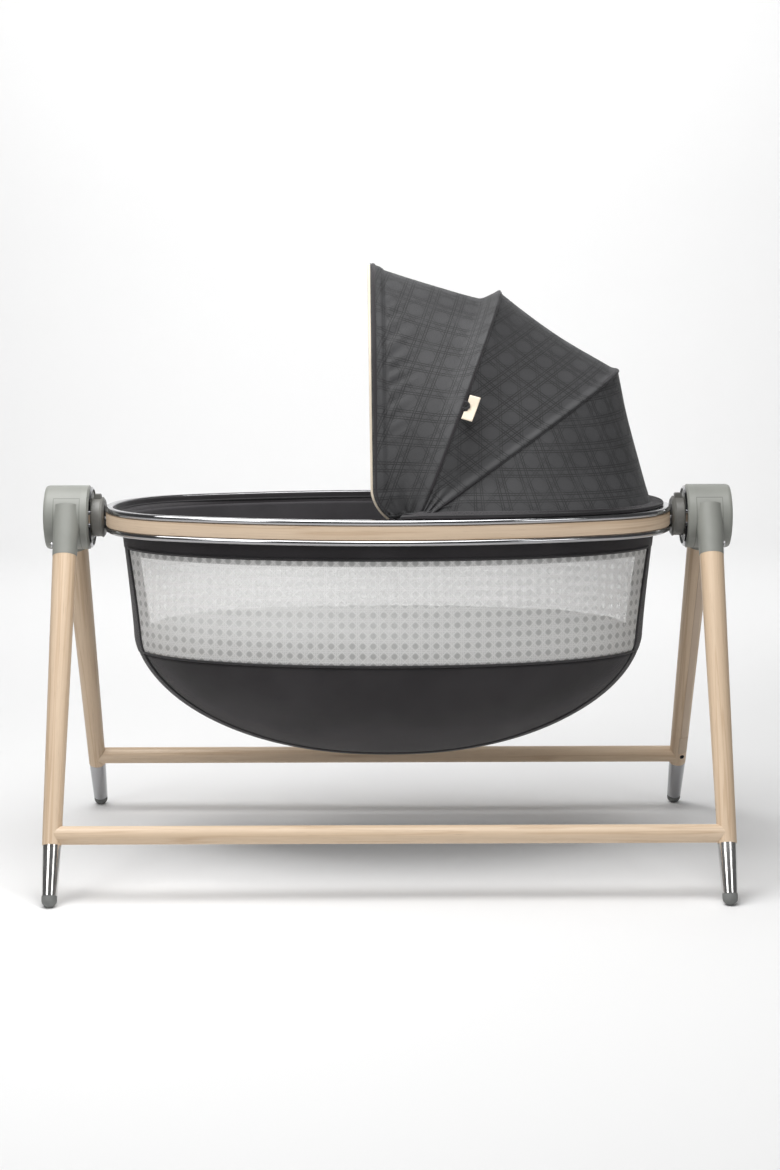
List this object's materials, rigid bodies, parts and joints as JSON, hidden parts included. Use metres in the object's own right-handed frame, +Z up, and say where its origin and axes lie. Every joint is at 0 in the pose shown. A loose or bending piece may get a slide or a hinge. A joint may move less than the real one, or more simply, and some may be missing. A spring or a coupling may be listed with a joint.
{
  "type": "bassinet",
  "caption": "Oval bassinet with mesh sides, mattress and folding canopy, swinging between two hubs on an A-frame wooden stand with metal feet and side rails.",
  "frame": {"origin": "on the floor below the middle of the basket", "axes": "+X along the basket towards the canopy end, +Y towards the rear legs, +Z up"},
  "size_m": [1.123, 0.6726, 0.9705],
  "materials": {
    "pale_wood": "matt clear lacquer, open grain",
    "polished_metal": "polished, slightly smoked",
    "foot_rubber": "matt",
    "hub_plastic": "fine texture",
    "steel": "zinc plated",
    "coil_wire": "enamelled copper winding",
    "circuit_board": "solder mask",
    "dark_plastic": "matt",
    "charcoal_fabric": "woven",
    "mesh_fabric": "openwork knit",
    "mattress_fabric": "quilted knit",
    "fibre_board": "hardboard"
  },
  "bodies": {
    "stand": {"leg_front_left": "pale_wood", "leg_front_right": "pale_wood", "leg_rear_left": "pale_wood", "leg_rear_right": "pale_wood", "foot_sleeve_front_left": "polished_metal", "foot_sleeve_front_right": "polished_metal", "foot_sleeve_rear_left": "polished_metal", "foot_sleeve_rear_right": "polished_metal", "foot_tip_front_left": "foot_rubber", "foot_tip_front_right": "foot_rubber", "foot_tip_rear_left": "foot_rubber", "foot_tip_rear_right": "foot_rubber", "rail_front": "pale_wood", "rail_rear": "pale_wood", "rail_dowels": "pale_wood", "hub_housing_left": "hub_plastic", "hub_housing_right": "hub_plastic", "hub_end_cap_left": "hub_plastic", "hub_end_cap_right": "hub_plastic", "hub_face_left": "hub_plastic", "hub_face_right": "hub_plastic", "hub_trim_left": "polished_metal", "hub_trim_right": "polished_metal", "hub_screws": "steel", "bearing_left": "steel", "bearing_right": "steel", "leg_screws": "steel", "drive_coil": "coil_wire", "control_board": "circuit_board", "cable_cover": "pale_wood", "dc_inlet": "dark_plastic"},
    "basket": {"swing_shaft_left": "steel", "swing_shaft_right": "steel", "shaft_clips": "steel", "magnet_arm": "dark_plastic", "coupling_left": "hub_plastic", "coupling_right": "hub_plastic", "ring_brackets": "steel", "button_spring_left": "steel", "button_spring_right": "steel", "ring_rail_upper": "polished_metal", "ring_rail_lower": "polished_metal", "ring_band": "pale_wood", "basket_border": "charcoal_fabric", "mesh_wall": "mesh_fabric", "basket_belly": "charcoal_fabric", "mattress_board": "fibre_board", "mattress": "mattress_fabric", "canopy_hinge_front": "dark_plastic", "canopy_hinge_rear": "dark_plastic", "canopy_hem": "charcoal_fabric", "canopy_panel_rear": "charcoal_fabric"},
    "bow_rear": {"canopy_bow_rear": "steel", "canopy_panel_middle": "charcoal_fabric"},
    "bow_middle": {"canopy_bow_middle": "steel", "canopy_panel_front": "charcoal_fabric"},
    "bow_front": {"canopy_bow_front": "steel"},
    "button_left": {"release_button_left": "hub_plastic"},
    "button_right": {"release_button_right": "hub_plastic"}
  },
  "joints": [
    {"name": "basket_swing", "type": "hinge", "parent": "stand", "child": "basket", "pos_m": [0, 0, 0.561], "axis": [1, 0, 0], "range_deg": [-10, 10]},
    {"name": "canopy_rear_fold", "type": "hinge", "parent": "basket", "child": "bow_rear", "pos_m": [0.0455, 0, 0.575], "axis": [0, 1, 0], "range_deg": [0, 20], "deforming": ["canopy_panel_rear"]},
    {"name": "canopy_middle_fold", "type": "hinge", "parent": "bow_rear", "child": "bow_middle", "pos_m": [0.0455, 0, 0.575], "axis": [0, 1, 0], "range_deg": [0, 24], "deforming": ["canopy_panel_middle"]},
    {"name": "canopy_front_fold", "type": "hinge", "parent": "bow_middle", "child": "bow_front", "pos_m": [0.0455, 0, 0.575], "axis": [0, 1, 0], "range_deg": [0, 26], "deforming": ["canopy_panel_front"]},
    {"name": "button_left_press", "type": "slide", "parent": "basket", "child": "button_left", "axis": [0, 0, -1], "range_m": [0, 0.003], "stiffness_N_per_m": 400, "springref_m": -0.003, "deforming": ["button_spring_left"]},
    {"name": "button_right_press", "type": "slide", "parent": "basket", "child": "button_right", "axis": [0, 0, -1], "range_m": [0, 0.003], "stiffness_N_per_m": 400, "springref_m": -0.003, "deforming": ["button_spring_right"]}
  ],
  "couplings": [
    {"joint": "canopy_middle_fold", "follows": "canopy_rear_fold", "ratio": 1.2},
    {"joint": "canopy_front_fold", "follows": "canopy_rear_fold", "ratio": 1.3}
  ]
}
